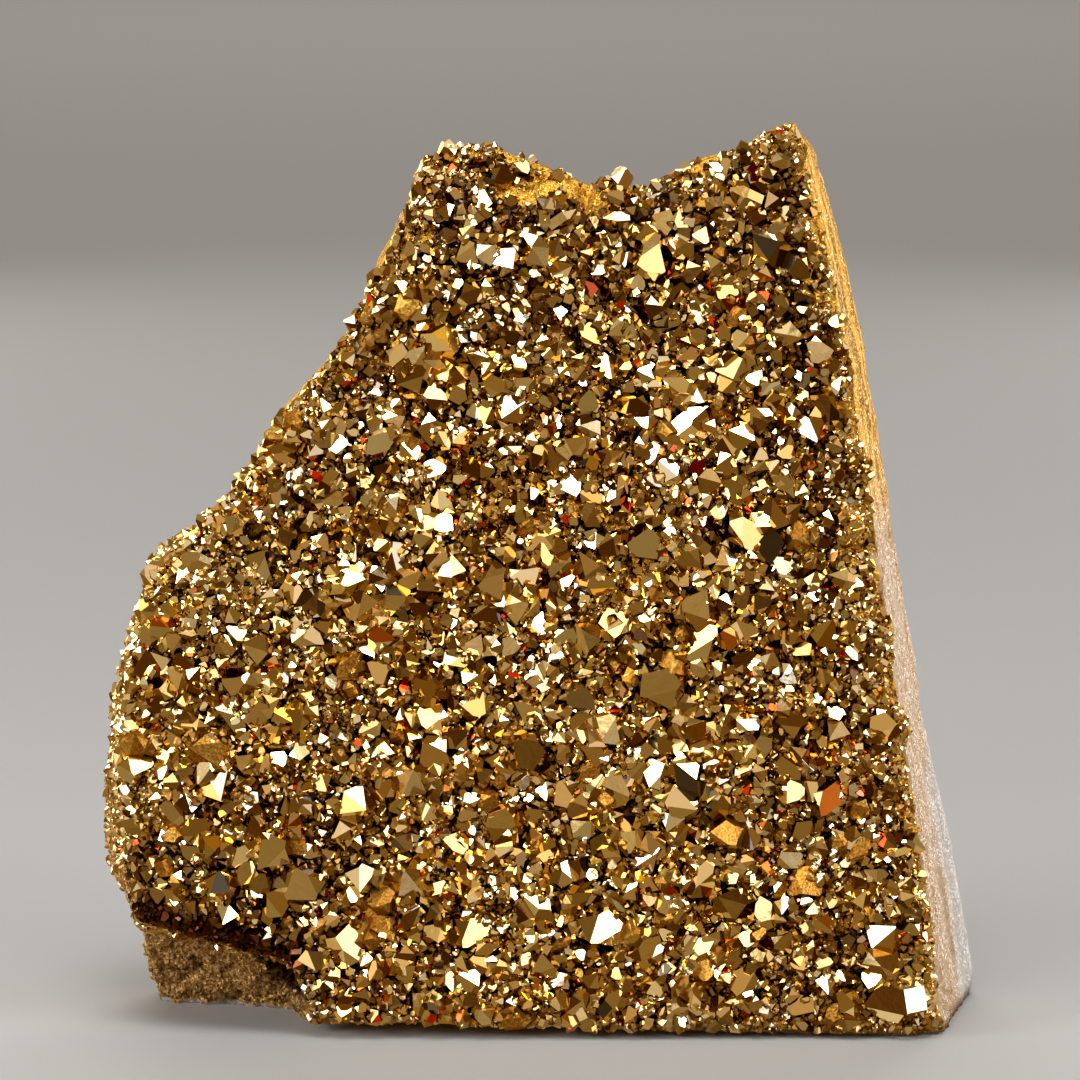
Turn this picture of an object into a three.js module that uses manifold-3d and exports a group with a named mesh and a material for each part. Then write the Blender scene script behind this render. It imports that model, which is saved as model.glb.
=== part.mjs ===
// A freestanding druzy of aura-coated amethyst: a slab of geode wall, sawn flat underneath so that it stands, with a
// crust of quartz points grown over its whole front. Crystals and rock grew together, so they are one solid.
// Millimetres, +Z up. The crystal face looks along -Y. The origin is the middle of the bounding box, on the sawn base.
import * as THREE from "three";
import { mergeVertices } from "three/addons/utils/BufferGeometryUtils.js";
import Module from "manifold-3d";

const wasm = await Module();
wasm.setup();

// Driving dimensions of the slab.
const BED_FOOT = -18.5; // y of the crystal bed at the base
const BED_LEAN = 0.14; // the bed leans back this much for each millimetre of height
const BACK_FOOT = 11.6; // y of the back rim at the base
const BACK_LEAN = 0.03; // the back rim leans back this much for each millimetre of height
const BACK_BELLY = 7; // how far the back bulges past its rim, low down
const BELLY_HEIGHT = 38; // height of the fullest part of the back
const BELLY_REACH = 55; // the bulge has died away this far above and below its fullest part
const RIM_ROUND = 3; // how far the bed falls back at its rim
// Gentle hills and hollows, as crossing waves: the height of each wave and its lengths over a full turn of the sine.
const BED_HILLS = { height: 0.9, across: 11, up: 14 };
const BED_RIPPLES = { height: 0.55, slanting: 7 };
const BACK_KNOBS = { height: 1.5, across: 8, up: 9 };
const CENTRE = { x: 9, z: 64 }; // every point of the outline can be seen from here

// Powers of the share of the way out from the centre: the higher, the nearer the rim the change sets in.
const RELIEF_FADE = 6;
const ROUND_SHARPNESS = 8;
const BELLY_FADE = 2.5;

// The slab is made of rings of points. These are the rings' places: on the bed and on the back as shares of the way
// from the centre to the rim, and on the wall as shares of its depth.
const BED_RINGS = [0.3, 0.55, 0.75, 0.9, 1];
const WALL_RINGS = [0.33, 0.67, 1];
const BACK_RINGS = [0.92, 0.75, 0.5, 0.25];

// Driving dimensions of the quartz points.
const POINT_SPACING = 9.2;
const POINT_WANDER = 0.5; // how far a point stands from its place in the rows, in spacings
const POINT_RADIUS = { low: 3.7, high: 5.3 };
const POINT_ROOT = 4; // how deep each point starts below the bed
const POINT_SHOULDER = { low: -1.2, high: 0.5 }; // where the prism ends and the tip begins, from the bed
const TIP_SLOPE = 1.1; // tip height for each millimetre of corner radius, as on real quartz
const POINT_TILT = 0.5; // the most that a point leans sideways, up or down for each millimetre of its length
const ROOT_SHARE = 0.8; // points are rooted in the bed as it lies this far out from the centre
const SMALL_BIAS = 1.5; // above 1, more of the points are small than large
const STRAIGHT_OUT = new THREE.Vector3(0, -1, 0);
const FIELD = { left: -83, right: 83, foot: 4, top: 140 }; // the rows of points fill this much before they are trimmed
const FIELD_SHARE = 0.95; // points stand out to this share of the way from the centre to the rim

// The slab's outline seen from the front, clockwise from the lower left: [x, z, flare]. Flare is how far the wall
// spreads outwards for each millimetre towards the back. The two lowest corners lie under the sawn base.
const OUTLINE = [
  [-53, -12, 0.12],
  [-59.2, 12, 0.12],
  [-61.6, 22, 0.22],
  [-62.2, 32, 0.22],
  [-62.2, 44, 0.18],
  [-61, 53, 0.16],
  [-59, 61, 0.14],
  [-58, 67.8, 0.1],
  [-52.4, 73, 0.02],
  [-47, 78, 0.02],
  [-42, 85, 0.06],
  [-38, 91.5, 0.07],
  [-32.2, 98.6, 0.04],
  [-27.5, 104.6, 0.05],
  [-24.8, 110.6, 0.1],
  [-19.6, 122, 0.1],
  [-16.8, 130, -0.06],
  [-12.6, 132.1, -0.2],
  [-6, 131.6, -0.08],
  [1, 128.8, -0.06],
  [8, 126.1, -0.1],
  [15.5, 126.4, -0.2],
  [20.5, 127.6, -0.1],
  [24.5, 130.3, -0.04],
  [31.5, 133, -0.2],
  [38.4, 136, -0.08],
  [40, 130.6, 0.16],
  [43.2, 117, 0.19],
  [46.4, 101, 0.22],
  [50, 77, 0.2],
  [54.8, 44, 0.2],
  [58.8, 16, 0.26],
  [62.4, -12, 0.26],
];

// Flat cuts. Each is a point on the plane and the direction that faces out of the stone. The lower left corner broke
// away, leaving bare rock: the fracture, and the underside and the side of the crust around it. The foot is cut back
// under the crust.
const FRACTURE = { at: [-56, 4, 0], out: [-0.22, -1, -0.4] };
const BROKEN_UNDERSIDE = { at: [-50, 1, 11.2], out: [-0.25, -0.25, -1] };
const BROKEN_SIDE = { at: [-41, 1, 7.5], out: [-1, -0.3, -0.4] };
const FOOT_UNDERCUT = { at: [0, -20, 3.1], out: [-0.03, -0.3, -1] };
const SAWN_BASE = { at: [0, 0, 0], out: [0, 0, -1] };
const BROKEN_CORNER = [FRACTURE, BROKEN_UNDERSIDE, BROKEN_SIDE]; // what lies in front of all three is gone
const CUT_REACH = 60; // size of the blocks that make the flat cuts

// A repeatable stream of numbers from 0 to 1.
function randomStream(seed) {
  let state = seed;
  return () => {
    state = (state + 0x6d2b79f5) | 0;
    let t = Math.imul(state ^ (state >>> 15), 1 | state);
    t = (t + Math.imul(t ^ (t >>> 7), 61 | t)) ^ t;
    return ((t ^ (t >>> 14)) >>> 0) / 4294967296;
  };
}

const between = (range, share) => THREE.MathUtils.lerp(range.low, range.high, share);

function solidFrom(geometry) {
  const bare = geometry.clone();
  bare.deleteAttribute("normal");
  bare.deleteAttribute("uv");
  const merged = mergeVertices(bare);
  return new wasm.Manifold(
    new wasm.Mesh({
      numProp: 3,
      vertProperties: new Float32Array(merged.getAttribute("position").array),
      triVerts: new Uint32Array(merged.index.array),
    }),
  );
}

function geometryFrom(solid) {
  const mesh = solid.getMesh();
  const geometry = new THREE.BufferGeometry();
  geometry.setAttribute("position", new THREE.BufferAttribute(mesh.vertProperties, 3));
  geometry.setIndex(new THREE.BufferAttribute(mesh.triVerts, 1));
  return geometry;
}

// The outline with a point added half way along each side.
function doubledOutline() {
  return OUTLINE.flatMap((point, i) => {
    const next = OUTLINE[(i + 1) % OUTLINE.length];
    return [point, point.map((value, k) => (value + next[k]) / 2)];
  });
}

// The outward direction of the outline at each of its points, in the x, z plane.
function outwardAt(outline, i) {
  const before = outline[(i + outline.length - 1) % outline.length];
  const after = outline[(i + 1) % outline.length];
  return new THREE.Vector2(before[1] - after[1], after[0] - before[0]).normalize();
}

function bedRelief(x, z) {
  const hills = BED_HILLS.height * Math.sin(x / BED_HILLS.across) * Math.cos(z / BED_HILLS.up);
  return hills + BED_RIPPLES.height * Math.sin((x + z) / BED_RIPPLES.slanting);
}

// y of the crystal bed. share is how far out from the centre the point is, 1 at the rim.
function bedAt(x, z, share) {
  const relief = bedRelief(x, z) * (1 - share ** RELIEF_FADE);
  return BED_FOOT + BED_LEAN * z + RIM_ROUND * share ** ROUND_SHARPNESS - relief;
}

function backRimAt(z) {
  return BACK_FOOT + BACK_LEAN * z;
}

function backAt(x, z, share) {
  const belly = BACK_BELLY * Math.exp(-(((z - BELLY_HEIGHT) / BELLY_REACH) ** 2)) * (1 - share ** BELLY_FADE);
  const waves = BACK_KNOBS.height * Math.sin(x / BACK_KNOBS.across) * Math.sin(z / BACK_KNOBS.up);
  return backRimAt(z) + belly + waves * (1 - share ** RELIEF_FADE);
}

// The slab as rings of points: bed centre, bed, side wall, back, back centre.
function slabGeometry() {
  const outline = doubledOutline();
  const rings = [];
  for (const share of BED_RINGS) {
    rings.push(
      outline.map(([px, pz]) => {
        const x = THREE.MathUtils.lerp(CENTRE.x, px, share);
        const z = THREE.MathUtils.lerp(CENTRE.z, pz, share);
        return new THREE.Vector3(x, bedAt(x, z, share), z);
      }),
    );
  }
  const flared = (depthShare) =>
    outline.map(([x, z, flare], i) => {
      const front = bedAt(x, z, 1);
      const depth = (backRimAt(z) - front) * depthShare;
      const out = outwardAt(outline, i).multiplyScalar(flare * depth);
      return new THREE.Vector3(x + out.x, front + depth, z + out.y);
    });
  for (const depthShare of WALL_RINGS) rings.push(flared(depthShare));
  const backRim = rings.at(-1);
  for (const share of BACK_RINGS) {
    rings.push(
      backRim.map((rim) => {
        const x = THREE.MathUtils.lerp(CENTRE.x, rim.x, share);
        const z = THREE.MathUtils.lerp(CENTRE.z, rim.z, share);
        return new THREE.Vector3(x, backAt(x, z, share), z);
      }),
    );
  }
  const count = outline.length;
  const bedCentre = new THREE.Vector3(CENTRE.x, bedAt(CENTRE.x, CENTRE.z, 0), CENTRE.z);
  const backCentre = new THREE.Vector3(CENTRE.x, backAt(CENTRE.x, CENTRE.z, 0), CENTRE.z);
  const points = [...rings.flat(), bedCentre, backCentre];
  const first = points.length - 2;
  const last = points.length - 1;
  const faces = [];
  for (let i = 0; i < count; i++) {
    const j = (i + 1) % count;
    faces.push(first, j, i);
    for (let ring = 0; ring + 1 < rings.length; ring++) {
      const a = ring * count;
      const b = a + count;
      faces.push(a + i, b + j, b + i, a + i, a + j, b + j);
    }
    const end = (rings.length - 1) * count;
    faces.push(last, end + i, end + j);
  }
  const geometry = new THREE.BufferGeometry().setFromPoints(points);
  geometry.setIndex(faces);
  return geometry;
}

// A block whose one face lies on the plane and whose body is on the side that is cut away.
function cuttingBlock({ at, out }) {
  const block = new THREE.BoxGeometry(4 * CUT_REACH, 4 * CUT_REACH, 2 * CUT_REACH);
  block.translate(0, 0, CUT_REACH);
  const direction = new THREE.Vector3(...out).normalize();
  const turn = new THREE.Quaternion().setFromUnitVectors(new THREE.Vector3(0, 0, 1), direction);
  block.applyQuaternion(turn);
  block.translate(...at);
  return solidFrom(block);
}

// One quartz point, rooted below the origin and pointing along -Y: a six-sided prism with a six-sided tip.
function quartzPoint(radius, shoulder) {
  const tip = shoulder + radius * TIP_SLOPE;
  const profile = [
    new THREE.Vector2(0, -POINT_ROOT),
    new THREE.Vector2(radius, -POINT_ROOT),
    new THREE.Vector2(radius, shoulder),
    new THREE.Vector2(0, tip),
  ];
  return new THREE.LatheGeometry(profile, 6).rotateX(Math.PI);
}

// True where a point x, z lies inside the outline drawn in to this share of its size.
function insideField(x, z, share) {
  const px = CENTRE.x + (x - CENTRE.x) / share;
  const pz = CENTRE.z + (z - CENTRE.z) / share;
  let inside = false;
  OUTLINE.forEach(([ax, az], i) => {
    const [bx, bz] = OUTLINE[(i + 1) % OUTLINE.length];
    if (az > pz !== bz > pz && px < ax + ((pz - az) / (bz - az)) * (bx - ax)) inside = !inside;
  });
  return inside;
}

const behindPlane = ({ at, out }, point, margin) =>
  new THREE.Vector3(...out).normalize().dot(point.clone().sub(new THREE.Vector3(...at))) < -margin;

// Points stand in shifted rows with a little wander, each leaning and turned its own way.
function quartzCrust() {
  const random = randomStream(7);
  const points = [];
  const rowHeight = (POINT_SPACING * Math.sqrt(3)) / 2;
  const columns = (FIELD.right - FIELD.left) / POINT_SPACING;
  for (let row = 0; row * rowHeight < FIELD.top; row++) {
    for (let column = 0; column <= columns; column++) {
      const wander = { x: (random() - 0.5) * POINT_WANDER, z: (random() - 0.5) * POINT_WANDER };
      const x = FIELD.left + (column + (row % 2) / 2 + wander.x) * POINT_SPACING;
      const z = FIELD.foot + (row + wander.z) * rowHeight;
      const radius = between(POINT_RADIUS, random() ** SMALL_BIAS);
      const shoulder = between(POINT_SHOULDER, random());
      const aim = new THREE.Vector3(
        (2 * random() - 1) * POINT_TILT,
        -1,
        (2 * random() - 1) * POINT_TILT + BED_LEAN,
      );
      const lean = new THREE.Quaternion().setFromUnitVectors(STRAIGHT_OUT, aim.normalize());
      const spin = random() * Math.PI;
      const place = new THREE.Vector3(x, bedAt(x, z, ROOT_SHARE), z);
      const rooted = BROKEN_CORNER.some((plane) => behindPlane(plane, place, radius));
      if (!insideField(x, z, FIELD_SHARE) || !rooted) continue;
      const point = quartzPoint(radius, shoulder);
      point.rotateY(spin);
      point.applyQuaternion(lean);
      point.translate(place.x, place.y, place.z);
      points.push(solidFrom(point));
    }
  }
  return wasm.Manifold.union(points);
}

const slab = solidFrom(slabGeometry());
const brokenCorner = BROKEN_CORNER.map(cuttingBlock).reduce((common, block) => common.intersect(block));
const cuts = [brokenCorner, cuttingBlock(FOOT_UNDERCUT), cuttingBlock(SAWN_BASE)];
const stone = slab.add(quartzCrust()).subtract(wasm.Manifold.union(cuts));

const geometry = geometryFrom(stone);
geometry.computeBoundingBox();
const middle = geometry.boundingBox.getCenter(new THREE.Vector3());
geometry.translate(-middle.x, -middle.y, 0);
geometry.computeVertexNormals();

const auraGold = new THREE.MeshStandardMaterial({ color: 0xc9943c, metalness: 1, roughness: 0.25, flatShading: true });
const druzy = new THREE.Mesh(geometry, auraGold);
druzy.name = "amethyst_druzy";

const part = new THREE.Group();
part.add(druzy);

export default part;
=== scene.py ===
"""A freestanding aura amethyst druzy: a slab of geode wall with gold-coated quartz points over its front."""
import math
import random

import bmesh
import bpy
import numpy as np
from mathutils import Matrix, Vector, kdtree, noise


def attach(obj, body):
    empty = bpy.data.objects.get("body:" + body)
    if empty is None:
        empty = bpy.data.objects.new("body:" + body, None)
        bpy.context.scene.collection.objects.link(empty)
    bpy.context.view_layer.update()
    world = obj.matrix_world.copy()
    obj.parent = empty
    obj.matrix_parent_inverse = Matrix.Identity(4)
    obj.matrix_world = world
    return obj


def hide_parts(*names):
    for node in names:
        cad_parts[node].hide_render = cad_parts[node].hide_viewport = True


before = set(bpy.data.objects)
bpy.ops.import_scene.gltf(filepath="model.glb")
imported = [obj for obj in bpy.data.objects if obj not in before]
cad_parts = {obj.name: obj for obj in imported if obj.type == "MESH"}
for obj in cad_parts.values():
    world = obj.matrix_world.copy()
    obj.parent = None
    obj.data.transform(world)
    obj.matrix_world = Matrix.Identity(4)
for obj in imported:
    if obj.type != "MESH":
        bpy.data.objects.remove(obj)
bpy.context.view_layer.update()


# ----------------------------------------------------------------------------------------------------------
# The geode wall. A slab broken out of a cavity's lining: a quartz bed in front, chalcedony behind it and a
# dark rind at the back, sawn flat underneath. Its shape is the frame's solid with the points pressed flat,
# remeshed and roughened. Gold vapour was laid on from the front, so the gilding thins out along the walls.

MM = 0.001
BED_FOOT = -17.45 * MM  # y of the bed at the base
BED_LEAN = 0.14  # the bed leans back this much for each unit of height
GRAIN = 0.78 * MM  # edge of the rock's mesh faces
MERGE = 0.001 * MM  # corners closer than this are one
CORNER = {"right": -22 * MM, "low": 0.5 * MM, "high": 24 * MM, "behind": 3.4 * MM}  # where the rock broke
HOLLOWS = [  # x, z, radius and depth of the pits in the broken corner, in mm
    (-38.0, 6.8, 3.2, 2.4),
    (-49.5, 12.5, 1.3, 0.9),
    (-42.5, 9.5, 1.8, 0.8),
    (-53.0, 7.0, 1.0, 0.7),
]
THIN_LAYERS = (0.12, 1, 0.12)  # noise squashed to these shares lies in layers along the bed
THICK_LAYERS = (0.2, 1, 0.2)
TAN_QUARTZ = (0.53, 0.34, 0.19)
CHALCEDONY = (0.54, 0.52, 0.49)
STREAKS = (0.26, 0.17, 0.10)
SUGARY_QUARTZ = (0.28, 0.14, 0.045)
DARK_RIND, BROWN_RIND, PALE_RIND = (0.10, 0.085, 0.065), (0.24, 0.19, 0.14), (0.38, 0.30, 0.20)
GOLD = (0.82, 0.47, 0.07)
GOLD_ON_SUGAR = (0.72, 0.46, 0.18)
DULL_GOLD = (0.20, 0.09, 0.012)
# painted shade: the near-black colour the rock takes in its hollows, under the crust's edge and at the foot
PAINTED_SHADE_ROCK = (0.03, 0.012, 0.004)
GOLD_GLOSS = (1.0, 0.78, 0.42, 1)  # what gilding turns light to at a grazing angle


def behind_bed(points):
    """How far each point lies behind the plane of the bed."""
    return points[:, 1] - BED_FOOT - BED_LEAN * points[:, 2]


def smooth(values, start, end):
    """0 before start, 1 after end, and an eased slope between them."""
    share = np.clip((values - start) / (end - start), 0, 1)
    return share * share * (3 - 2 * share)


def vectors(items, label):
    """The x, y, z under this label of each item of a mesh, such as its vertices' places."""
    flat = np.empty(len(items) * 3, np.float32)
    items.foreach_get(label, flat)
    return flat.reshape(-1, 3).astype(float)


def store(mesh, name, values, kind="FLOAT", domain="POINT"):
    """Keeps a value for each vertex or face under a name that materials and trees can read."""
    made = mesh.attributes.new(name, kind, domain)
    made.data.foreach_set("value" if kind == "FLOAT" else "vector", values.astype(np.float32).ravel())


def as_piece(name, mesh):
    piece = bpy.data.objects.new(name, mesh)
    bpy.context.scene.collection.objects.link(piece)
    return piece


def applied(piece):
    """The piece's mesh with its modifiers applied."""
    shown = bpy.context.evaluated_depsgraph_get()
    mesh = bpy.data.meshes.new_from_object(piece.evaluated_get(shown), depsgraph=shown)
    mesh.name = piece.name
    return mesh


def ripple(points, size, seed, squash=(1, 1, 1)):
    """Soft noise from -1 to 1 whose lumps are about this size, squashed along the axes to these shares."""
    shift = Vector((seed * 3.7, seed * 1.3, seed * 2.1))
    scaled = points * np.array(squash) / size
    return np.array([noise.noise(Vector(p) + shift) for p in scaled])


def search_tree(spots):
    """A tree that finds the nearest of these spots."""
    tree = kdtree.KDTree(len(spots))
    for number, spot in enumerate(spots):
        tree.insert(spot, number)
    tree.balance()
    return tree


pressed = bmesh.new()
pressed.from_mesh(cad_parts["amethyst_druzy"].data)
bmesh.ops.remove_doubles(pressed, verts=pressed.verts, dist=MERGE)
for vertex in pressed.verts:
    vertex.co.y = max(vertex.co.y, BED_FOOT + BED_LEAN * vertex.co.z)
rock_mesh = bpy.data.meshes.new("geode_wall")
pressed.to_mesh(rock_mesh)
pressed.free()
rock = as_piece("geode_wall", rock_mesh)
remesh = rock.modifiers.new("Fine faces", "REMESH")
remesh.mode = "VOXEL"
remesh.voxel_size = GRAIN
rock.data = applied(rock)
rock.modifiers.clear()


def on_broken_corner(face):
    """Whether a face of the remeshed rock lies on the front of the broken corner."""
    spot = face.calc_center_median()
    in_reach = spot.x < CORNER["right"] and CORNER["low"] < spot.z < CORNER["high"]
    return in_reach and spot.y - BED_FOOT - BED_LEAN * spot.z > CORNER["behind"] and face.normal.y < -0.15


def refine(mesh, chosen, cuts):
    """Divides the faces that pass the test into smaller ones."""
    shape = bmesh.new()
    shape.from_mesh(mesh)
    faces = {face for face in shape.faces if chosen(face)}
    edges = [edge for edge in shape.edges if not faces.isdisjoint(edge.link_faces)]
    bmesh.ops.subdivide_edges(shape, edges=edges, cuts=cuts, use_grid_fill=True)
    shape.to_mesh(mesh)
    shape.free()


refine(rock.data, on_broken_corner, 2)

# What each spot of the rock belongs to, from 0 to 1. x, y and z are in mm.
at = vectors(rock.data.vertices, "co")
facing = vectors(rock.data.vertex_normals, "vector")
depth = behind_bed(at)
x, y, z = (at / MM).T
on_bed = smooth(-facing[:, 1], 0.5, 0.8) * (1 - smooth(depth, 3.0 * MM, 4.0 * MM))
in_corner = smooth(-x, 20, 24) * (1 - smooth(z, 21, 25)) * smooth(depth, 2.6 * MM, 3.6 * MM)
on_break = smooth(-facing[:, 1], 0.08, 0.3) * in_corner
under_crust = smooth(-facing[:, 2], 0.3, 0.6) * (z > 1.5) * (depth < 16 * MM) * (y < 8)
on_back = smooth(facing[:, 1], 0.3, 0.7)
on_wall = np.clip(1 - on_bed - on_break - on_back, 0, 1)
on_base = smooth(-facing[:, 2], 0.8, 0.95) * (z < 1.0)

# The rim of the bed, and how far every spot is from it.
rim_shape = bmesh.new()
rim_shape.from_mesh(rock.data)
bed_faces = {face for face in rim_shape.faces if np.mean([on_bed[v.index] for v in face.verts]) > 0.5}
rim_edges = [e for face in bed_faces for e in face.edges if not bed_faces.issuperset(e.link_faces)]
rim_tree = search_tree(at[sorted({vertex.index for edge in rim_edges for vertex in edge.verts})])
rim_shape.free()
nearest = [rim_tree.find(spot) for spot in at]
to_rim = np.array([found[2] for found in nearest])
towards_rim = np.array([found[0] for found in nearest]) - at
towards_rim /= np.maximum(np.linalg.norm(towards_rim, axis=1), 0.2 * MM)[:, None]

# Roughening, in mm: fine layers along the walls, knobs on the rind, sugar and pits on the break, and chips
# along the rear edge. The sawn base stays flat.
along = np.column_stack([at[:, 0], depth, at[:, 2]])
layers = ripple(along, 1.1 * MM, 1, THIN_LAYERS) * 0.12 + ripple(along, 3.2 * MM, 2, THICK_LAYERS) * 0.3
grain = ripple(at, 1.6 * MM, 4) * 0.14
waves = ripple(at, 7 * MM, 3) * (0.55 - 0.25 * smooth(facing[:, 0], 0.2, 0.6))
knobs = np.abs(ripple(at, 9 * MM, 5)) * 2.4 + np.abs(ripple(at, 3.4 * MM, 6)) * 1.3
sugar = ripple(at, 1.1 * MM, 7) * 0.42 + ripple(at, 3.1 * MM, 8) * 1.0 + ripple(at, 0.6 * MM, 14) * 0.25
rear_edge = smooth(facing[:, 1], 0.02, 0.2) * on_wall
chips = rear_edge * smooth(ripple(at, 3.0 * MM, 15), 0.1, 0.5) * (1 - smooth(z, 14, 40)) * 1.6


def pitted(x, z):
    """How far spots of the broken corner lie inside its pits, in mm."""
    deepest = np.zeros(len(x))
    for pit_x, pit_z, radius, deep in HOLLOWS:
        off_middle = ((x - pit_x) ** 2 + (z - pit_z) ** 2) / radius**2
        deepest = np.maximum(deepest, deep * np.exp(-(off_middle**2)))
    return deepest


wobble = ripple(at, 2.6 * MM, 17) * 2.4
pit_depth = pitted(x + wobble, z - wobble)
push = on_wall * (layers + waves - grain) - chips + on_back * (0.6 - knobs) + on_break * (sugar - pit_depth)
at += facing * (push * (1 - on_base) * MM)[:, None]
at[at[:, 2] < 0.4 * MM, 2] = 0
rock.data.vertices.foreach_set("co", at.astype(np.float32).ravel())
rock.data.update()
rock.data.shade_smooth()

# Where the gold reached, where the rock is sugary, and how far through its layers each spot is.
right_side = smooth(facing[:, 0], 0.2, 0.6)
pale_from = 19 + 24 * smooth(z, 30, 64) + ripple(along, 4 * MM, 16, THICK_LAYERS) * 1.5  # mm behind the bed
pale = smooth(depth / MM, pale_from - 6, pale_from + 6)
gilded_right = 0.38 * (1 - pale) + 0.57 * smooth(z, 66, 92)
gilding = on_bed + on_break * 0.75 + on_wall * (right_side * gilded_right + (1 - right_side) * 0.95)
gilding += on_back * 0.35 * smooth(z, 40, 120)
gilding *= (1 - on_base) * smooth(z, 0.2, 0.8) * (1 - under_crust * (z < 4))
sugary_share = on_break * smooth(z, 0.3, 0.9) + on_wall * (1 - right_side) * (1 - smooth(z, 72, 84))
store(rock.data, "gilding", np.clip(gilding, 0, 1))
store(rock.data, "sugar", np.clip(sugary_share, 0, 1))
store(rock.data, "layer", np.clip(0.5 * pale + on_back, 0, 1))


def add(tree, kind, inputs=None, **settings):
    """Adds a node. Its inputs, by name or number, get values or are linked to other nodes' outputs."""
    made = tree.nodes.new(kind)
    for key, value in settings.items():
        setattr(made, key, value)
    for key, value in (inputs or {}).items():
        if isinstance(value, bpy.types.NodeSocket):
            tree.links.new(value, made.inputs[key])
        else:
            made.inputs[key].default_value = value
    return made


def math_node(tree, operation, *values):
    return add(tree, "ShaderNodeMath", dict(enumerate(values)), operation=operation).outputs[0]


def slope(tree, value, start, end, **settings):
    """0 at start, 1 at end, and a straight slope between them."""
    return add(tree, "ShaderNodeMapRange", {0: value, 1: start, 2: end}, **settings).outputs[0]


def stored(tree, name):
    """A value that the mesh keeps under this name."""
    return add(tree, "ShaderNodeAttribute", attribute_name=name).outputs["Fac"]


def ramp(tree, factor, *stops, mode="LINEAR"):
    """Colours along a factor: each stop is (place, colour)."""
    made = add(tree, "ShaderNodeValToRGB", {"Fac": factor})
    made.color_ramp.interpolation = mode
    elements = made.color_ramp.elements
    while len(elements) < len(stops):
        elements.new(0.5)
    for element, (place, colour) in zip(elements, stops):
        element.position = place
        element.color = (*colour, 1)
    return made.outputs[0]


def mix_colour(tree, factor, first, second, blend="MIX"):
    made = add(tree, "ShaderNodeMix", data_type="RGBA", blend_type=blend)
    for key, value in ((0, factor), (6, first), (7, second)):
        if isinstance(value, bpy.types.NodeSocket):
            tree.links.new(value, made.inputs[key])
        else:
            made.inputs[key].default_value = value if key == 0 else (*value, 1)
    return made.outputs[2]


def mix_value(tree, factor, first, second):
    return add(tree, "ShaderNodeMix", {0: factor, 2: first, 3: second}).outputs[0]


def blank_material(name):
    """A new material with only its output and a Principled shader. Returns it, its tree and the shader."""
    made = bpy.data.materials.new(name)
    made.use_nodes = True
    return made, made.node_tree, made.node_tree.nodes["Principled BSDF"]


def painted_shade_group():
    """A group for both finishes: the finish itself, and painted shade, a dark colour put in the crevices,
    under overhangs and at the foot.
    """
    group = bpy.data.node_groups.new("Vapour reach", "ShaderNodeTree")
    for label, side in (("Finish", "INPUT"), ("Crevice", "INPUT"), ("Colour", "OUTPUT")):
        group.interface.new_socket(label, in_out=side, socket_type="NodeSocketColor")
    given = add(group, "NodeGroupInput").outputs
    seen = mix_colour(group, stored(group, "exposed"), given["Crevice"], given["Finish"])
    add(group, "NodeGroupOutput", {"Colour": seen})
    return group


painted_shade_mix = painted_shade_group()


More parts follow.
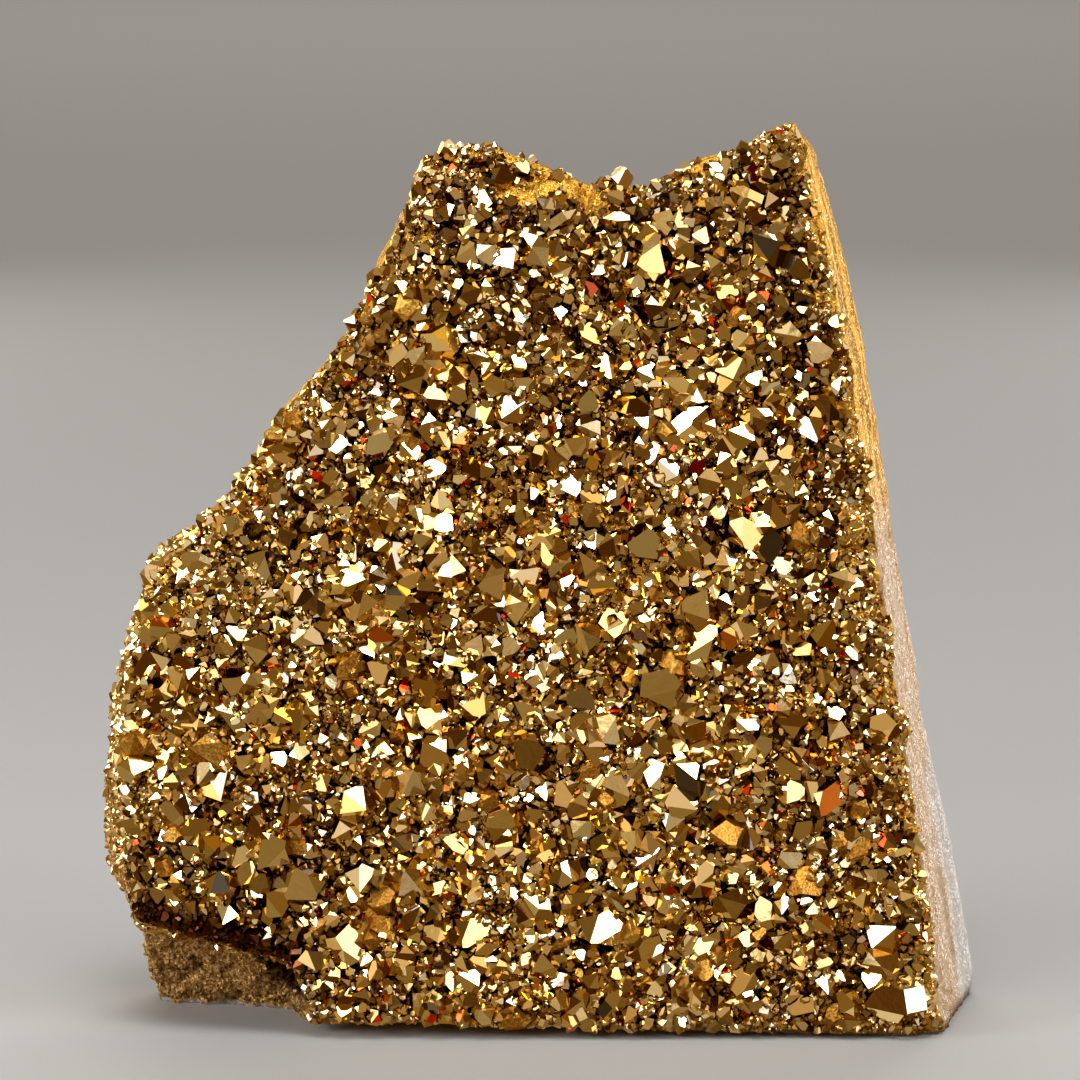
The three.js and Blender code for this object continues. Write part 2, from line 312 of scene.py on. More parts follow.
def geode_rock():
    """Tan and white layers, a blotchy rind and sugary quartz, under gold that is patchy where thin."""
    made, nodes, shader = blank_material("geode_rock")
    place = add(nodes, "ShaderNodeTexCoord").outputs["Object"]
    axes = add(nodes, "ShaderNodeSeparateXYZ", {0: place}).outputs
    lean = math_node(nodes, "MULTIPLY", axes[2], BED_LEAN)
    behind = math_node(nodes, "SUBTRACT", math_node(nodes, "SUBTRACT", axes[1], lean), BED_FOOT)
    flat = add(nodes, "ShaderNodeCombineXYZ", {0: axes[0], 1: behind, 2: axes[2]}).outputs[0]
    stretched = add(nodes, "ShaderNodeMapping", {"Vector": flat, "Scale": (0.05, 1.0, 0.05)}).outputs[0]

    def patterned(scale, detail, roughness=0.5, vector=place):
        keys = {"Vector": vector, "Scale": scale, "Detail": detail, "Roughness": roughness}
        return add(nodes, "ShaderNodeTexNoise", keys).outputs[0]

    streaks = slope(nodes, patterned(420.0, 8.0, 0.75, stretched), 0.32, 0.68)
    grains = patterned(1400.0, 3.0)
    blotches = patterned(70.0, 6.0, 0.7)
    sugary = stored(nodes, "sugar")
    layer = stored(nodes, "layer")
    stone = ramp(nodes, layer, (0.0, TAN_QUARTZ), (0.5, CHALCEDONY))
    rind = ramp(nodes, blotches, (0.36, DARK_RIND), (0.5, BROWN_RIND), (0.64, PALE_RIND))
    stone = mix_colour(nodes, slope(nodes, layer, 0.55, 0.8), stone, rind)
    stone = mix_colour(nodes, math_node(nodes, "MULTIPLY", streaks, 0.35), stone, STREAKS)
    stone = mix_colour(nodes, sugary, stone, SUGARY_QUARTZ)
    patchy = math_node(nodes, "MULTIPLY_ADD", streaks, 0.5, math_node(nodes, "MULTIPLY", grains, 0.9))
    patchy = math_node(nodes, "SUBTRACT", patchy, 0.7)
    gold_share = math_node(nodes, "ADD", stored(nodes, "gilding"), patchy)
    gold_share = slope(nodes, gold_share, 0.3, 0.85, interpolation_type="SMOOTHSTEP")
    coated = mix_colour(nodes, sugary, GOLD, GOLD_ON_SUGAR)
    dull = mix_value(nodes, sugary, slope(nodes, streaks, 0.4, 0.6), slope(nodes, grains, 0.38, 0.62))
    coated = mix_colour(nodes, math_node(nodes, "MULTIPLY", dull, 0.85), coated, DULL_GOLD)
    # Painted shade: where the stored share is low the colour turns near black.
    colours = {"Finish": mix_colour(nodes, gold_share, stone, coated), "Crevice": (*PAINTED_SHADE_ROCK, 1)}
    seen = add(nodes, "ShaderNodeGroup", colours, node_tree=painted_shade_mix).outputs[0]
    nodes.links.new(seen, shader.inputs["Base Color"])
    metal = math_node(nodes, "MULTIPLY", gold_share, mix_value(nodes, sugary, 0.8, 0.6))
    nodes.links.new(metal, shader.inputs["Metallic"])
    shader.inputs["Specular Tint"].default_value = GOLD_GLOSS

    # Every tiny grain of quartz faces its own way, so some of them flash.
    cells = add(nodes, "ShaderNodeTexVoronoi", {"Vector": place, "Scale": 3300.0}).outputs["Color"]
    keys = {0: cells, 1: (0.5, 0.5, 0.5)}
    tilt = add(nodes, "ShaderNodeVectorMath", keys, operation="SUBTRACT").outputs[0]
    most = mix_value(nodes, sugary, mix_value(nodes, gold_share, 0.15, 1.1), 1.4)
    tilt = add(nodes, "ShaderNodeVectorMath", {0: tilt, "Scale": most}, operation="SCALE").outputs[0]
    plain = add(nodes, "ShaderNodeNewGeometry").outputs["Normal"]
    grainy = add(nodes, "ShaderNodeVectorMath", {0: plain, 1: tilt}, operation="ADD").outputs[0]
    grainy = add(nodes, "ShaderNodeVectorMath", {0: grainy}, operation="NORMALIZE").outputs[0]
    relief = math_node(nodes, "ADD", math_node(nodes, "MULTIPLY", streaks, 0.5), grains)
    keys = {"Strength": 0.45, "Distance": 0.0004, "Height": relief, "Normal": grainy}
    nodes.links.new(add(nodes, "ShaderNodeBump", keys).outputs[0], shader.inputs["Normal"])
    glinting = slope(nodes, add(nodes, "ShaderNodeSeparateColor", {0: cells}).outputs[0], 0.7, 0.75)
    nodes.links.new(mix_value(nodes, glinting, 0.5, 0.18), shader.inputs["Roughness"])
    return made


rock_finish = geode_rock()
rock.data.materials.clear()
rock.data.materials.append(rock_finish)
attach(rock, "root")
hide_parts("amethyst_druzy")


# ----------------------------------------------------------------------------------------------------------
# The quartz points. Six-sided prisms that end in six-faced tips. They grew out from the bed, crowding each
# other, so that little more than their tips shows, and a vapour of metal laid a mirror film on them.

TIP_FACE_ANGLE = math.radians(51.8)  # between a tip face's normal and the length of the crystal
ROOT = 1.3  # how far a point reaches below its shoulder, in its own radii
HABITS = (0.0, 0.03, 0.06, 0.12, 0.24)  # how far every second tip face is set back, in radii
SHAPES_OF_A_KIND = 24


def quartz_point(name, chance, uneven):
    """One point of radius 1 along +Z, its shoulder at the origin. Its faces stand at uneven distances."""
    shape = bmesh.new()
    bmesh.ops.create_cube(shape, size=6)

    def cut(direction, distance):
        direction = Vector(direction).normalized()
        bmesh.ops.bisect_plane(
            shape, geom=shape.verts[:] + shape.edges[:] + shape.faces[:], dist=1e-5,
            plane_co=direction * distance, plane_no=direction, clear_outer=True,
        )
        open_edges = [edge for edge in shape.edges if edge.is_boundary]
        if open_edges:
            bmesh.ops.contextual_create(shape, geom=open_edges)

    turns = [math.radians(60 * side) for side in range(6)]
    for turn in turns:
        cut((math.cos(turn), math.sin(turn), 0), chance.uniform(1 - 1.8 * uneven, 1 + uneven))
    habit = chance.choice(HABITS)
    for side, turn in enumerate(turns):
        outward = Vector((math.cos(turn), math.sin(turn), 0)) * math.sin(TIP_FACE_ANGLE)
        further = chance.uniform(-uneven, uneven) + habit * (side % 2)
        cut(outward + Vector((0, 0, math.cos(TIP_FACE_ANGLE))), math.sin(TIP_FACE_ANGLE) * (1 + further))
    cut((0, 0, -1), ROOT)
    bmesh.ops.recalc_face_normals(shape, faces=shape.faces)
    mesh = bpy.data.meshes.new(name)
    shape.to_mesh(mesh)
    shape.free()
    store(mesh, "facet", np.array([chance.random() for _ in mesh.polygons]), domain="FACE")
    return bpy.data.objects.new(name, mesh)


def shapes(name, uneven, seed):
    chance = random.Random(seed)
    kept = bpy.data.collections.new(name)
    for number in range(SHAPES_OF_A_KIND):
        kept.objects.link(quartz_point(f"{name}_{number}", chance, uneven))
    return kept


large_shapes = shapes("large_shapes", 0.17, 11)
small_shapes = shapes("small_shapes", 0.24, 12)

# Where each size grows: large points keep off the rim and off the patches where the growth stayed fine, and
# fine druse coats the rim, the left wall below the step, the crust's broken edge and the lip over the foot.
FINE_PATCHES = [  # x, z, half width and half height of the patches of small points, and how fine they are
    (-5, 84, 22, 14, 0.5),
    (-44, 65, 6, 6, 0.9),
    (-30, 50, 5, 5, 0.8),
    (-33, 40, 5, 4, 0.8),
    (-28, 97, 8, 5, 0.6),
]
BARE_LIPS = [  # x, z and reach of the stretches of rim left bare, and the width of the bare lip
    (1, 126, 8, 1.15),
    (24, 132, 3.2, 1.1),
    (-24, 112, 11, 0.5),
]
CRUST_EDGE = [(-60, 18.5), (-44.5, 14.5), (-37.5, 12), (-34.5, 3)]  # x, z along the edge over the corner
OVERHANG = CRUST_EDGE[:3]  # the stretch of that edge that shades what is under it
SHADE_FADE_START = -0.35 * MM  # painted crevice shade fades out from this far over the bed
SHADE_FADE_LENGTH = 1.8 * MM  # and is gone this much further out


def off_edge(x, z, corners):
    """How far spots are, in mm, from an edge through these corners."""
    spots = np.column_stack([x, z])
    nearest = np.full(len(spots), np.inf)
    for start, end in zip(corners, corners[1:]):
        start, side = np.array(start), np.subtract(end, start)
        share = np.clip((spots - start) @ side / (side @ side), 0, 1)
        nearest = np.minimum(nearest, np.linalg.norm(spots - start - share[:, None] * side, axis=1))
    return nearest


# How far each spot is from the rim and from the edge over the corner, in mm, and how fine the growth is.
x, y, z = (at / MM).T
inward = to_rim / MM
from_edge = off_edge(x, z, CRUST_EDGE)
wander = ripple(at, 14 * MM, 9) * 0.25 + ripple(at, 6 * MM, 10) * 0.18
fineness = np.zeros(len(at))
for patch_x, patch_z, wide, tall, amount in FINE_PATCHES:
    spread = ((x - patch_x) / wide) ** 2 + ((z - patch_z) / tall) ** 2
    fineness = np.maximum(fineness, amount * np.exp(-spread))
bare = np.zeros(len(at))
for lip_x, lip_z, reach, width in BARE_LIPS:
    on_lip = 1 - smooth(np.hypot(x - lip_x, z - lip_z), reach, reach + 2)
    edge = width + wander
    bare = np.maximum(bare, on_lip * (1 - smooth(inward, edge - 0.3, edge + 0.2)))
rim_side = smooth(x, 26, 38)  # along the right rim the growth is finest
left_rim = (1 - smooth(x, -52, -44)) * smooth(z, 32, 40)  # up here the points stay large up to the edge
low_left = (1 - smooth(x, -52, -48)) * (1 - smooth(z, 30, 38))  # the other stretch of fine rim
room = inward + 0.8 * (1 - smooth(z, 3, 6)) * (from_edge > 3)  # over the foot they grow down to the rim
clear = from_edge - 1.2 * (z < 11)  # beside the corner nothing overhangs it

# Painted shade, stored for the colour: the rock's pits and low hollows, what is under the crust's edge, and
# the foot of the bed.
pits = on_break * np.maximum(smooth(pit_depth, 0.1, 0.8), 0.75 * smooth(-sugar, 0.15, 0.8))
overhung = np.maximum(on_bed, under_crust) * (1 - smooth(from_edge, 1.2, 3.0)) * (z < 22) * (x < -30)
foot = 0.8 * (1 - smooth(z, 0.6, 1.8)) * smooth(-facing[:, 1], -0.3, 0.2) * (x > -34)
store(rock.data, "exposed", 1 - np.maximum(np.maximum(pits, overhung), foot))

# The stretches of wall that carry points too.
turned_away = 1 - smooth(facing[:, 0], 0.3, 0.6)  # the walls other than the right one
shoulder = on_wall * (1 - smooth(inward, 2.2 + 2 * wander, 3.6 + 2 * wander)) * turned_away
shoulder *= smooth(z, 34, 46) * (1 - bare) * smooth(-facing[:, 1], -0.2, 0.2)
lip = on_wall * (1 - smooth(inward, 0.5, 1.3 + wander)) * turned_away
left_wall = on_wall * smooth(-facing[:, 0], 0.1, 0.4)
left_wall *= (1 - smooth(z + 10 * wander, 70, 84)) * smooth(z, 17, 21)

# How thickly each size stands on each spot.
coarse = np.clip(1.15 * smooth(room, 0.2, 2.0) * (1 - fineness) + wander, 0, 1) * smooth(clear, 1.5, 3.5)
middle = smooth(room, 0.3 + 0.6 * rim_side, 1.0 + 0.9 * rim_side) * (1 - fineness * 0.6)
strip_from = 0.6 + 2 * wander + 0.5 * rim_side
strip_to = 1.6 + 2 * wander + 0.8 * rim_side
strip = on_bed * (1 - smooth(room, strip_from, strip_to))
druse = np.clip(strip + lip + left_wall * 0.4 + under_crust + on_bed * (0.04 + fineness), 0, 1)
large_from = 1.4 * rim_side + low_left
large = on_bed * coarse * smooth(room, 0.2 + large_from, 1.0 + 1.5 * large_from) * (1 - bare)
skin = rock.data.copy()
store(skin, "large", large * smooth(z, 4, 9) * (1 - 0.5 * smooth(z, 94, 106)))
store(skin, "middling", on_bed * middle * smooth(clear, 1, 3) * (1 - bare) + shoulder)
store(skin, "small", (on_bed * smooth(room, 0.1, 0.6) + shoulder) * smooth(clear, 0.3, 1.0) * (1 - bare))
store(skin, "tiny", (on_bed * smooth(room, 0.2, 1.2) + shoulder) * smooth(clear, 0, 0.5) * (1 - bare))
store(skin, "druse", druse * smooth(from_edge, 0.1, 0.4) * (1 - bare))
store(skin, "crumbs", on_break * (1 - pits))

# How large they grow there, and which way they fan out near the rim.
weaker = 0.2 * (1 - smooth(inward, 1, 5)) * (1 - left_rim) + 0.15 * rim_side
store(skin, "vigour", (1 - weaker) * (1 - 0.3 * fineness))
fan = towards_rim * (on_bed * (1 - smooth(inward, 0, 8)))[:, None]
fan[:, 1] -= 4 * shoulder  # over the shoulder of the rim the points still face the way the bed does
store(skin, "fan", fan, "FLOAT_VECTOR")


def crystal_tree():
    """A tree that grows points on a bed, clear of those that are already there, and joins what it grew."""
    tree = bpy.data.node_groups.new("Points on a bed", "GeometryNodeTree")
    face = tree.interface
    face.new_socket("Points", in_out="OUTPUT", socket_type="NodeSocketGeometry")
    for label, kind in (
        ("Bed", "Geometry"), ("Shapes", "Collection"), ("Older", "Collection"), ("Finish", "Material"),
        ("Where", "String"), ("Spacing", "Float"), ("Smallest", "Float"), ("Largest", "Float"),
        ("Evenness", "Float"), ("Lean", "Float"), ("Sunk", "Float"), ("Raised", "Float"), ("Seed", "Int"),
    ):
        face.new_socket(label, in_out="INPUT", socket_type="NodeSocket" + kind)
    given = add(tree, "NodeGroupInput").outputs

    def chance(least, most, step, kind="FLOAT"):
        seed = math_node(tree, "ADD", given["Seed"], step)
        first, last, made_at = {"FLOAT": (2, 3, 1), "FLOAT_VECTOR": (0, 1, 0)}[kind]
        keys = {first: least, last: most, "Seed": seed}
        return add(tree, "FunctionNodeRandomValue", keys, data_type=kind).outputs[made_at]

    def vector_math(operation, *values):
        made = add(tree, "ShaderNodeVectorMath", dict(enumerate(values)), operation=operation)
        return made.outputs["Value" if operation == "DOT_PRODUCT" else "Vector"]

    def scaled(vector, share):
        return add(tree, "ShaderNodeVectorMath", {0: vector, "Scale": share}, operation="SCALE").outputs[0]

    def named(label, kind="FLOAT"):
        return add(tree, "GeometryNodeInputNamedAttribute", {"Name": label}, data_type=kind).outputs[0]

    def keep(geometry, label, value, kind="FLOAT", domain="POINT"):
        keys = {"Geometry": geometry, "Name": label, "Value": value}
        return add(tree, "GeometryNodeStoreNamedAttribute", keys, data_type=kind, domain=domain).outputs[0]

    spread = add(
        tree, "GeometryNodeDistributePointsOnFaces",
        {"Mesh": given["Bed"], "Distance Min": given["Spacing"], "Density Max": 1e7,
         "Density Factor": named(given["Where"]), "Seed": given["Seed"]},
        distribute_method="POISSON",
    ).outputs
    lean = scaled(chance((-1, -1, -1), (1, 1, 1), 1, "FLOAT_VECTOR"), given["Lean"])
    aim = vector_math("ADD", spread["Normal"], lean)
    aim = vector_math("NORMALIZE", vector_math("ADD", aim, scaled(named("fan", "FLOAT_VECTOR"), 0.4)))
    unevenness = math_node(tree, "POWER", chance(0.0, 1.0, 2), given["Evenness"])
    size = add(tree, "ShaderNodeMapRange", {0: unevenness, 3: given["Smallest"], 4: given["Largest"]})
    size = math_node(tree, "MULTIPLY", size.outputs[0], named("vigour"))
    kept = keep(spread["Points"], "aim", aim, "FLOAT_VECTOR")
    kept = keep(kept, "size", size)
    aim = named("aim", "FLOAT_VECTOR")
    size = named("size")
    raised = chance(given["Sunk"], given["Raised"], 3)
    rise = scaled(aim, math_node(tree, "MULTIPLY", size, raised))
    kept = add(tree, "GeometryNodeSetPosition", {"Geometry": kept, "Offset": rise}).outputs[0]

    # Points that never formed: with the tip inside an older one, the root in the air, or the foot too low.
    older = add(tree, "GeometryNodeCollectionInfo", {"Collection": given["Older"]}).outputs[0]
    older = add(tree, "GeometryNodeRealizeInstances", {"Geometry": older}).outputs[0]
    spot = add(tree, "GeometryNodeInputPosition").outputs[0]

    def inside_older(share):
        """Whether the spot this many radii up the length of the point is inside an older one."""
        start = vector_math("ADD", spot, scaled(aim, math_node(tree, "MULTIPLY", size, share)))
        struck = add(
            tree, "GeometryNodeRaycast",
            {"Target Geometry": older, "Source Position": start, "Ray Direction": (0, -1, 0),
             "Ray Length": 50 * MM},
        ).outputs
        rearward = vector_math("DOT_PRODUCT", struck["Hit Normal"], (0, 1, 0))
        leaving = math_node(tree, "LESS_THAN", rearward, 0)  # the ray meets the face from inside
        return math_node(tree, "MULTIPLY", struck["Is Hit"], leaving)

    above_rock = math_node(tree, "GREATER_THAN", raised, 0.9 * ROOT)
    adrift = math_node(tree, "GREATER_THAN", above_rock, inside_older(-0.9 * ROOT))
    height = add(tree, "ShaderNodeSeparateXYZ", {0: spot}).outputs[2]
    too_low = math_node(tree, "LESS_THAN", math_node(tree, "MULTIPLY_ADD", size, -1.1, height), 0.5 * MM)
    unformed = math_node(tree, "MAXIMUM", math_node(tree, "MAXIMUM", inside_older(0.8), adrift), too_low)
    keys = {"Geometry": kept, "Selection": unformed}
    kept = add(tree, "GeometryNodeDeleteGeometry", keys, domain="POINT").outputs[0]

    spin = add(tree, "FunctionNodeAxisAngleToRotation", {"Angle": chance(0.0, math.tau, 4)}).outputs[0]
    keys = {"Rotation": spin, "Vector": aim}
    turned = add(tree, "FunctionNodeAlignRotationToVector", keys, axis="Z").outputs[0]
    kinds = add(
        tree, "GeometryNodeCollectionInfo",
        {"Collection": given["Shapes"], "Separate Children": True, "Reset Children": True},
    ).outputs[0]
    grown = add(
        tree, "GeometryNodeInstanceOnPoints",
        {"Points": kept, "Instance": kinds, "Pick Instance": True, "Rotation": turned, "Scale": size},
    ).outputs[0]
    grown = keep(grown, "tint", chance(0.0, 1.0, 5), domain="INSTANCE")
    grown = keep(grown, "wear", chance(0.0, 1.0, 6), domain="INSTANCE")

    # The grown points are joined in one solid, whose faces take their values from the points they were on.
    loose = add(tree, "GeometryNodeRealizeInstances", {"Geometry": grown}).outputs[0]
    keys = {"Mesh 2": grown}
    joined = add(tree, "GeometryNodeMeshBoolean", keys, operation="UNION", solver="MANIFOLD").outputs[0]
    for label in ("tint", "wear", "facet", "size"):
        keys = {"Mesh": loose, "Value": named(label)}
        value = add(tree, "GeometryNodeSampleNearestSurface", keys).outputs[0]
        joined = keep(joined, label, value, domain="FACE")
    joined = add(tree, "GeometryNodeRealizeInstances", {"Geometry": joined}).outputs[0]
    joined = add(tree, "GeometryNodeSetShadeSmooth", {"Geometry": joined, "Shade Smooth": False}).outputs[0]
    keys = {"Geometry": joined, "Material": given["Finish"]}
    add(tree, "NodeGroupOutput", {"Points": add(tree, "GeometryNodeSetMaterial", keys).outputs[0]})
    return tree


growth = crystal_tree()
grown_so_far = bpy.data.collections.new("grown_so_far")
bed_spots = np.flatnonzero(on_bed > 0.5)
bed_depths = depth[bed_spots]
bed_fineness = fineness[bed_spots]
bed_tree = search_tree(at[bed_spots] * (1, 0, 1))


def paint_shade_on_faces(mesh):
    """Stores painted shade for each face: dark in the crevices, under the crust's edge and at the foot, none
    on tips and rim.
    """
    middles = vectors(mesh.polygons, "center")
    mid_x, _, mid_z = (middles / MM).T
    off_rim = np.array([rim_tree.find(middle)[2] for middle in middles])
    found = [bed_tree.find((middle[0], 0, middle[2])) for middle in middles]
    below = np.array([spot[1] for spot in found])
    beyond_rim = smooth(np.array([spot[2] for spot in found]), 0.6 * MM, 1.3 * MM)
    over_bed = bed_depths[below] - behind_bed(middles)
    # The painted crevice shade reaches further up near the top and over the broken corner.
    over_corner = (1 - smooth(mid_x, -38, -20)) * (1 - smooth(mid_z, 28, 42))
    darker = np.maximum(smooth(mid_z, 92, 112), over_corner)  # near the top and over the broken corner
    start = SHADE_FADE_START + 0.4 * MM * darker
    exposed = smooth(over_bed, start, start + SHADE_FADE_LENGTH)
    exposed += 0.6 * smooth(bed_fineness[below], 0.5, 0.9)
    near_rim = 1 - smooth(off_rim, 0.5 * MM, 2.5 * MM)
    exposed += (0.35 + 0.5 * smooth(mid_x, 20, 50)) * near_rim + beyond_rim
    # Painted shade: faces far under the bed darken in the rock's pits, and all darken at the foot and under
    # the crust's edge.
    exposed = np.where(over_bed > -3 * MM, exposed, 1 - smooth(pitted(mid_x, mid_z), 0.2, 1.2))
    exposed *= 0.3 + 0.7 * smooth(mid_z, 0.8, 3.5)
    exposed *= 0.03 + 0.97 * smooth(off_edge(mid_x, mid_z, OVERHANG), 1.2, 3.6)
    store(mesh, "exposed", np.clip(exposed, 0, 1), domain="FACE")


def grow(name, slot, **inputs):
    """A piece of the points that grow on the rock with these inputs, clear of those that grew before."""
    piece = as_piece(name, skin)
    modifier = piece.modifiers.new("Growth", "NODES")
    modifier.node_group = growth
    sockets = {s.name: s.identifier for s in growth.interface.items_tree if s.in_out == "INPUT"}
    for label, value in {"Older": grown_so_far, **inputs}.items():
        modifier[sockets[label]] = value
    piece.data = applied(piece)
    piece.modifiers.clear()
    grown_so_far.objects.link(piece)
    paint_shade_on_faces(piece.data)
    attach(piece, "root")
    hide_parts("amethyst_druzy")
    return piece


FILM_TONES = (  # the share of the faces that is darker than each tone, and the tone
    (0.0, (0.36, 0.20, 0.05)), (0.25, (0.62, 0.46, 0.20)),
    (0.65, (0.77, 0.64, 0.37)), (0.95, (1.0, 0.97, 0.90)),
)
ODD_TONES = (  # red, rust, yellow and slate
    (0.0, (0.80, 0.05, 0.012)), (0.010, (0.74, 0.24, 0.05)),
    (0.022, (0.95, 0.62, 0.10)), (0.040, (0.13, 0.12, 0.13)),
)
CASTS = ((0.0, (1.0, 0.82, 0.60)), (0.5, (1.0, 0.98, 0.93)), (1.0, (0.90, 1.0, 1.02)))  # coppery to greenish
ODD_SHARE = 0.042  # of all faces
ETCHED_SHARE = 0.032  # of all points
BROAD = 1.7 * MM  # points of a larger radius have no red faces
FINE = {"from": 0.9 * MM, "to": 0.3 * MM}  # between these radii the points turn pale
PALE_GOLD = (0.98, 0.84, 0.56)
DUSTY_GOLD, DUST = (0.58, 0.32, 0.06), (0.24, 0.11, 0.02)
# painted shade: the near-black colour the gold points take in crevices, under the crust's edge and at the
# foot
PAINTED_SHADE_GOLD = (0.055, 0.009, 0.003)


def aura_gold():
    """The film: every face has its own tone, a few are red, orange or slate, and some points are etched."""
    made, nodes, shader = blank_material("aura_gold")
    place = add(nodes, "ShaderNodeTexCoord").outputs["Object"]
    wear = stored(nodes, "wear")
    facet = math_node(nodes, "MULTIPLY", stored(nodes, "facet"), 5.7)
    mixed = math_node(nodes, "MULTIPLY_ADD", stored(nodes, "tint"), 17.3, facet)
    chosen = math_node(nodes, "FRACT", mixed)  # every face of every point has its own number
    film = ramp(nodes, chosen, *FILM_TONES)
    radius = stored(nodes, "size")
    broad = math_node(nodes, "GREATER_THAN", radius, BROAD)
    odd = ramp(nodes, math_node(nodes, "MULTIPLY_ADD", broad, 0.016, chosen), *ODD_TONES, mode="CONSTANT")
    film = mix_colour(nodes, math_node(nodes, "LESS_THAN", chosen, ODD_SHARE), film, odd)
    mottle = add(nodes, "ShaderNodeTexNoise", {"Vector": place, "Scale": 2600.0, "Detail": 4.0}).outputs[0]
    dusty = mix_colour(nodes, slope(nodes, mottle, 0.35, 0.68), DUSTY_GOLD, DUST)
    etched = math_node(nodes, "GREATER_THAN", wear, 1 - ETCHED_SHARE)
    film = mix_colour(nodes, etched, film, dusty)
    fine = slope(nodes, radius, FINE["from"], FINE["to"])
    film = mix_colour(nodes, math_node(nodes, "MULTIPLY", fine, 0.55), film, PALE_GOLD)
    other = math_node(nodes, "FRACT", math_node(nodes, "MULTIPLY", mixed, 7.1))  # a second one, for its cast
    film = mix_colour(nodes, 0.8, film, ramp(nodes, other, *CASTS), "MULTIPLY")
    # Painted shade: where the stored share is low the film turns near black.
    colours = {"Finish": film, "Crevice": (*PAINTED_SHADE_GOLD, 1)}
    seen = add(nodes, "ShaderNodeGroup", colours, node_tree=painted_shade_mix).outputs[0]
    nodes.links.new(seen, shader.inputs["Base Color"])
    shader.inputs["Metallic"].default_value = 1.0
    shader.inputs["Specular Tint"].default_value = GOLD_GLOSS
    sheen = math_node(nodes, "MULTIPLY_ADD", wear, 0.08, math_node(nodes, "MULTIPLY_ADD", fine, 0.1, 0.04))
    nodes.links.new(mix_value(nodes, etched, sheen, 0.4), shader.inputs["Roughness"])
    waves = add(nodes, "ShaderNodeTexNoise", {"Vector": place, "Scale": 600.0, "Detail": 2.0}).outputs[0]
    waves = math_node(nodes, "MULTIPLY", waves, 0.2)
    relief = mix_value(nodes, etched, waves, math_node(nodes, "MULTIPLY", mottle, 2.0))
    keys = {"Strength": 0.5, "Distance": 0.0001, "Height": relief}
    nodes.links.new(add(nodes, "ShaderNodeBump", keys).outputs[0], shader.inputs["Normal"])
    return made


# Smallest and Largest are radii. Evenness above 1 makes more of them small. Lean is how far they stray from
# straight out. Sunk and Raised are the lowest and highest place of the shoulder, in radii above the bed.
gold_finish = aura_gold()
grow(
    "large_points", "aura_gold", Finish=gold_finish, Shapes=large_shapes, Where="large",
    Spacing=4.6 * MM, Smallest=2.2 * MM, Largest=4.1 * MM, Evenness=1.4,
    Lean=0.6, Sunk=-0.8, Raised=0.1, Seed=3,
)
grow(
    "middling_points", "aura_gold", Finish=gold_finish, Shapes=large_shapes, Where="middling",
    Spacing=2.5 * MM, Smallest=1.25 * MM, Largest=2.55 * MM, Evenness=1.3,
    Lean=0.8, Sunk=-0.5, Raised=0.5, Seed=5,
)
grow(
    "small_points", "aura_gold", Finish=gold_finish, Shapes=large_shapes, Where="small",
    Spacing=1.25 * MM, Smallest=0.75 * MM, Largest=1.5 * MM, Evenness=1.2,
    Lean=1.0, Sunk=-0.2, Raised=0.9, Seed=8,
)
grow(
    "tiny_points", "aura_gold", Finish=gold_finish, Shapes=small_shapes, Where="tiny",
    Spacing=0.92 * MM, Smallest=0.4 * MM, Largest=0.9 * MM, Evenness=1.3,
    Lean=1.4, Sunk=0.0, Raised=2.6, Seed=9,
)
grow(
    "fine_druse", "aura_gold", Finish=gold_finish, Shapes=small_shapes, Where="druse",
    Spacing=0.75 * MM, Smallest=0.35 * MM, Largest=0.85 * MM, Evenness=1.4,
    Lean=1.5, Sunk=-0.1, Raised=0.7, Seed=10,
)


# ----------------------------------------------------------------------------------------------------------
# The grains on the broken corner. Where the crust broke away, stubs of the rock's own quartz stand out all
# over the fracture. They have no mirror film, only the rock's thin and dull gilding.

broken_grains = grow(
    "broken_grains", "geode_rock", Finish=rock_finish, Shapes=small_shapes, Where="crumbs",
    Spacing=0.62 * MM, Smallest=0.2 * MM, Largest=0.6 * MM, Evenness=2.0,
    Lean=1.0, Sunk=-0.6, Raised=0.2, Seed=12,
).data
store(broken_grains, "gilding", np.full(len(broken_grains.vertices), 0.75))
store(broken_grains, "sugar", np.ones(len(broken_grains.vertices)))


# ----------------------------------------------------------------------------------------------------------
# The stage. A plain pale floor, soft boxes with dim screens round them at both sides, overhead and near the
# camera, two boxes for the edges and one behind, and a brown and gold room that only the gilding mirrors.

FLOOR_REACH = 8.0
floor_mesh = bpy.data.meshes.new("floor")
corner_sides = ((-1, -1), (1, -1), (1, 1), (-1, 1))
floor_corners = [(across * FLOOR_REACH, along * FLOOR_REACH, 0) for across, along in corner_sides]
floor_mesh.from_pydata(floor_corners, [], [(0, 1, 2, 3)])
floor = as_piece("floor", floor_mesh)
floor_material, nodes, shader = blank_material("pale_floor")
shader.inputs["Base Color"].default_value = (0.42, 0.415, 0.405, 1)
shader.inputs["Roughness"].default_value = 0.7
floor.data.materials.append(floor_material)
floor.visible_glossy = False  # so the gilding mirrors the room, not the paper under it

world = bpy.data.worlds.new("studio")
bpy.context.scene.world = world
world.use_nodes = True
way = add(world.node_tree, "ShaderNodeTexCoord").outputs["Generated"]
keys = {"Vector": way, "Scale": 2.2, "Detail": 1.0}
room_colours = ramp(
    world.node_tree, add(world.node_tree, "ShaderNodeTexNoise", keys).outputs[0],
    (0.36, (0.085, 0.028, 0.004)), (0.43, (0.27, 0.155, 0.038)),
    (0.54, (0.36, 0.225, 0.075)), (0.61, (0.85, 0.64, 0.38)),
)
world.node_tree.links.new(room_colours, world.node_tree.nodes["Background"].inputs["Color"])
world.cycles_visibility.diffuse = False  # the room is mirrored, but only the boxes light the stone


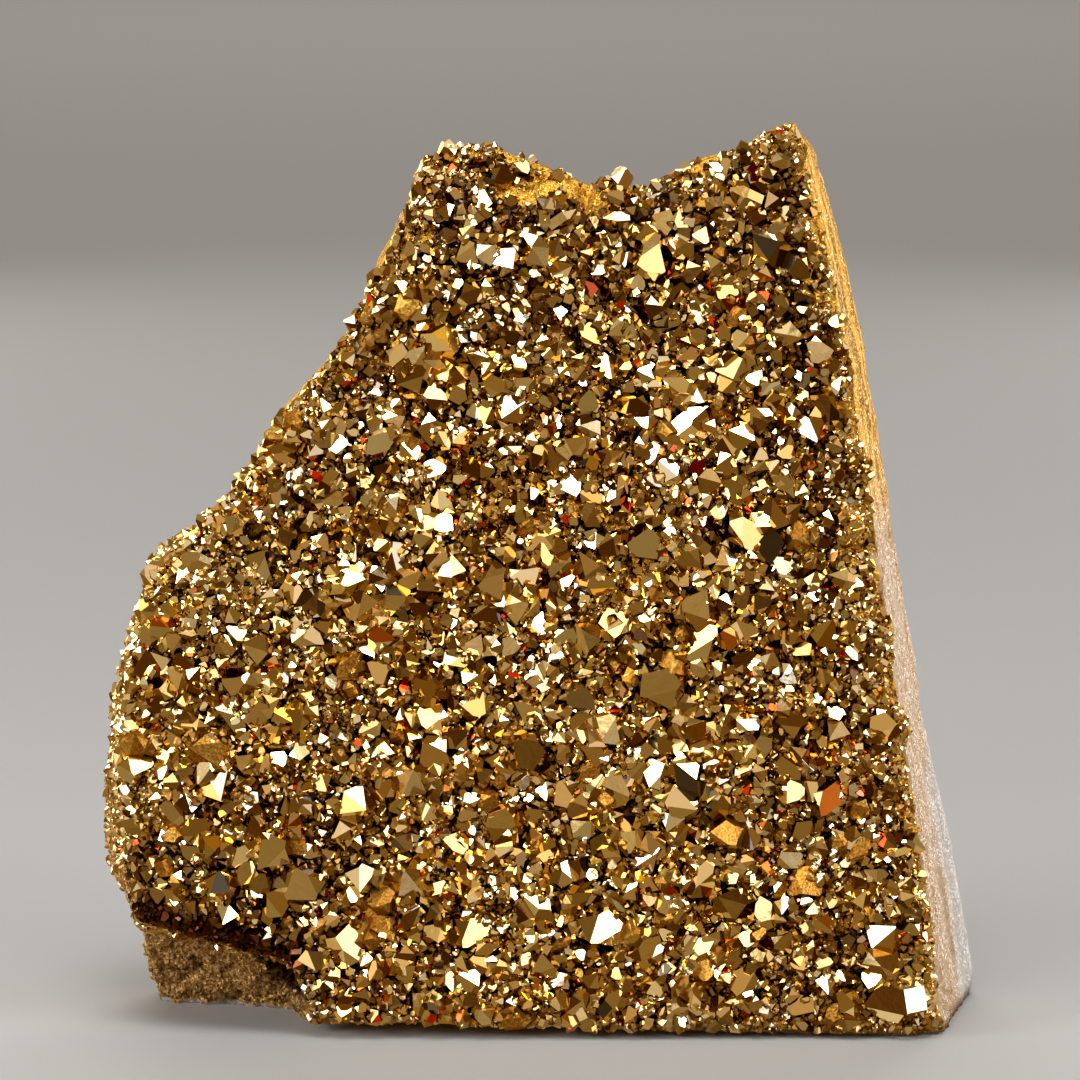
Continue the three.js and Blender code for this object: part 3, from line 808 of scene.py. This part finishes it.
def soft_box(name, place, width, height, brightness, aim=(0, 0, 0.07)):
    """A soft box of this size at this place, aimed at the stone. Brightness is the radiance of its face."""
    lamp = bpy.data.lights.new(name, "AREA")
    lamp.shape = "RECTANGLE"
    lamp.size = width
    lamp.size_y = height
    lamp.energy = brightness * math.pi * width * height
    made = bpy.data.objects.new(name, lamp)
    bpy.context.scene.collection.objects.link(made)
    made.location = place
    made.rotation_euler = (Vector(aim) - Vector(place)).to_track_quat("-Z", "Y").to_euler()


BOX_BRIGHTNESS = 8.0
SCREEN_BRIGHTNESS = 2.1
SCREEN_SIZE = 1.8  # in sizes of its box
SCREEN_REACH = 1.03  # how far away it is, in reaches of its box
for side, spot, wide, tall in (
    ("left", (-0.75, -0.35, 0.35), 0.26, 0.38),
    ("right", (0.75, -0.35, 0.35), 0.26, 0.38),
    ("top", (0.0, -0.25, 0.85), 0.32, 0.26),
    ("near", (-0.42, -0.72, 0.45), 0.19, 0.19),
):
    soft_box(side + "_box", spot, wide, tall, BOX_BRIGHTNESS)
    behind_box = [SCREEN_REACH * part for part in spot]
    soft_box(side + "_screen", behind_box, SCREEN_SIZE * wide, SCREEN_SIZE * tall, SCREEN_BRIGHTNESS)
for side, turned in (("left", -1), ("right", 1)):
    soft_box(side + "_edge_box", (0.55 * turned, 0.95, 0.1), 0.35, 0.7, 4.0)
soft_box("back_box", (0.0, 3.2, 2.6), 3.0, 2.0, 3.0, (0, 2.2, 0))

CAMERA_HEIGHT = math.radians(9.0)
CAMERA_REACH = 0.75
VIEW_WIDTH = 163.62 * MM  # what the view takes in across, at the stone
LOOK_AT = Vector((-0.07, 1.05, 73)) * MM
camera_data = bpy.data.cameras.new("camera")
camera_data.sensor_width = 36
camera_data.lens = camera_data.sensor_width * CAMERA_REACH / VIEW_WIDTH
camera = bpy.data.objects.new("camera", camera_data)
bpy.context.scene.collection.objects.link(camera)
away = Vector((0, -math.cos(CAMERA_HEIGHT), math.sin(CAMERA_HEIGHT)))
camera.location = LOOK_AT + away * CAMERA_REACH
camera.rotation_euler = (-away).to_track_quat("-Z", "Y").to_euler()
bpy.context.scene.camera = camera
bpy.context.scene.view_settings.view_transform = "Standard"
bpy.context.scene.cycles.glossy_bounces = 2  # what crossed the crevices more often is too dim to matter
